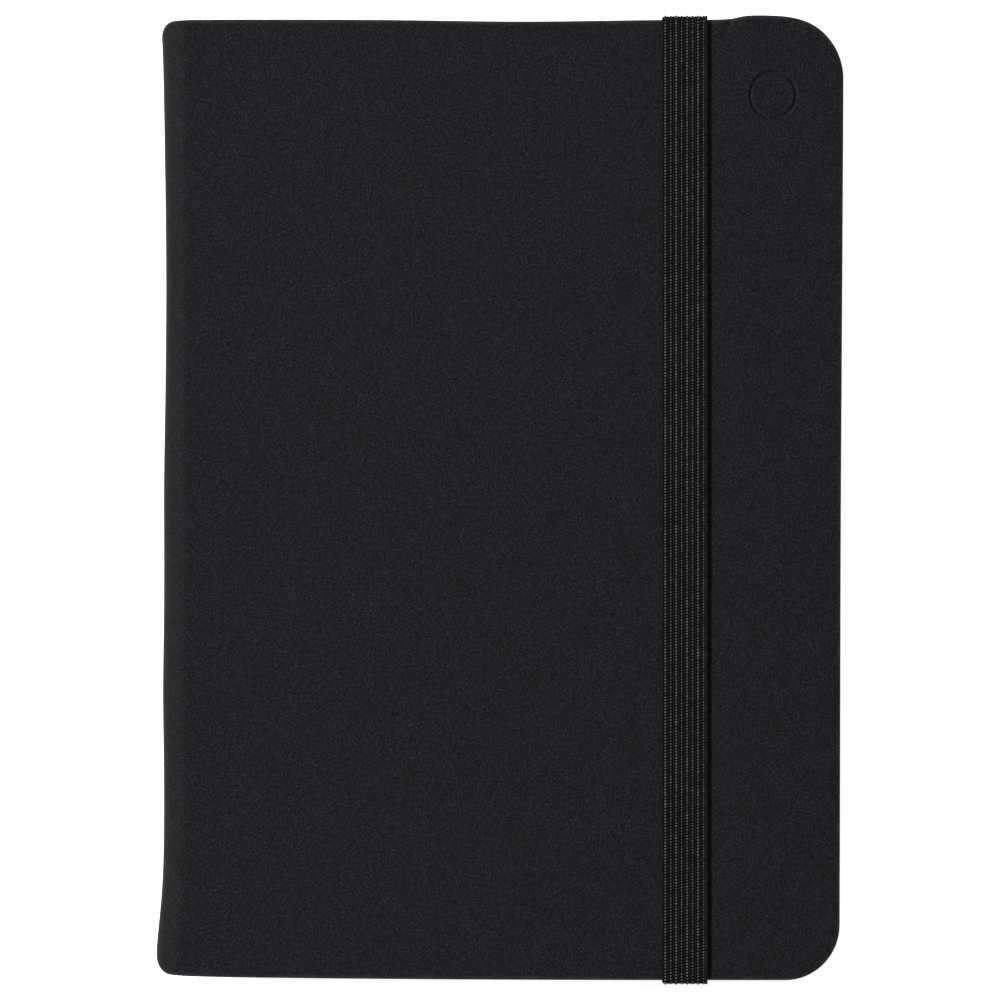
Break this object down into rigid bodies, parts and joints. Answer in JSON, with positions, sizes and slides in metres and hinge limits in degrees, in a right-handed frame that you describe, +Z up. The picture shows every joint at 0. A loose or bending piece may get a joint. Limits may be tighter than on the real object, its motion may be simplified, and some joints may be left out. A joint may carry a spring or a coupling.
{
  "type": "pocket notebook",
  "caption": "Soft-cover pocket notebook with sewn signatures, rounded corners and a ribbed elastic band that holds it shut.",
  "frame": {"origin": "centre of the footprint at the level that the shut notebook rests on", "axes": "+X from the spine to the fore edge, +Y from tail to head, +Z up through the pages to the front cover"},
  "size_m": [0.105, 0.1502, 0.0143],
  "materials": {
    "cover_skin": "matte",
    "board": "matte",
    "endpaper": "matte",
    "page": "matte",
    "lining_cloth": "matte",
    "thread": "matte",
    "elastic": "matte"
  },
  "bodies": {
    "back_cover": {"back_cover_skin": "cover_skin", "back_board": "board", "back_pastedown": "endpaper", "back_flyleaf": "endpaper", "spine_lining_back": "lining_cloth", "signature_4": "page", "signature_5": "page", "signature_6": "page", "sewing_thread_4": "thread", "sewing_thread_5": "thread", "sewing_thread_6": "thread", "band_head_leg": "elastic", "band_tail_leg": "elastic"},
    "spine": {"spine_skin": "cover_skin", "spine_strip": "board"},
    "front_cover": {"front_cover_skin": "cover_skin", "front_board": "board", "front_pastedown": "endpaper"},
    "front_leaf": {"front_flyleaf": "endpaper", "spine_lining_front": "lining_cloth"},
    "leaves_1": {"signature_1": "page", "sewing_thread_1": "thread"},
    "leaves_2": {"signature_2": "page", "sewing_thread_2": "thread"},
    "leaves_3": {"signature_3": "page", "sewing_thread_3": "thread"},
    "band": {"band_strap": "elastic"}
  },
  "joints": [
    {"name": "front_cover_fold", "type": "hinge", "parent": "spine", "child": "front_cover", "pos_m": [-0.05133, 0, 0.01247], "axis": [0, -1, 0], "range_deg": [0, 90], "deforming": ["band_strap"]},
    {"name": "spine_fold", "type": "hinge", "parent": "back_cover", "child": "spine", "pos_m": [-0.05133, 0, 0.00187], "axis": [0, -1, 0], "range_deg": [0, 90]},
    {"name": "front_leaf_turn", "type": "hinge", "parent": "back_cover", "child": "front_leaf", "pos_m": [-0.05111, 0, 0.00717], "axis": [0, -1, 0], "range_deg": [0, 178.2]},
    {"name": "leaves_1_turn", "type": "hinge", "parent": "back_cover", "child": "leaves_1", "pos_m": [-0.05111, 0, 0.00717], "axis": [0, -1, 0], "range_deg": [0, 176.4]},
    {"name": "leaves_2_turn", "type": "hinge", "parent": "back_cover", "child": "leaves_2", "pos_m": [-0.05111, 0, 0.00717], "axis": [0, -1, 0], "range_deg": [0, 174.6]},
    {"name": "leaves_3_turn", "type": "hinge", "parent": "back_cover", "child": "leaves_3", "pos_m": [-0.05111, 0, 0.00717], "axis": [0, -1, 0], "range_deg": [0, 172.8]},
    {"name": "band_pull", "type": "slide", "parent": "back_cover", "child": "band", "axis": [1, 0, 0], "range_m": [0, 0.032], "stiffness_N_per_m": 60, "deforming": ["band_strap"]}
  ],
  "couplings": [
    {"joint": "spine_fold", "follows": "front_cover_fold", "ratio": 1},
    {"joint": "front_leaf_turn", "follows": "front_cover_fold", "ratio": 1.98},
    {"joint": "leaves_1_turn", "follows": "front_cover_fold", "ratio": 1.96},
    {"joint": "leaves_2_turn", "follows": "front_cover_fold", "ratio": 1.94},
    {"joint": "leaves_3_turn", "follows": "front_cover_fold", "ratio": 1.92}
  ]
}
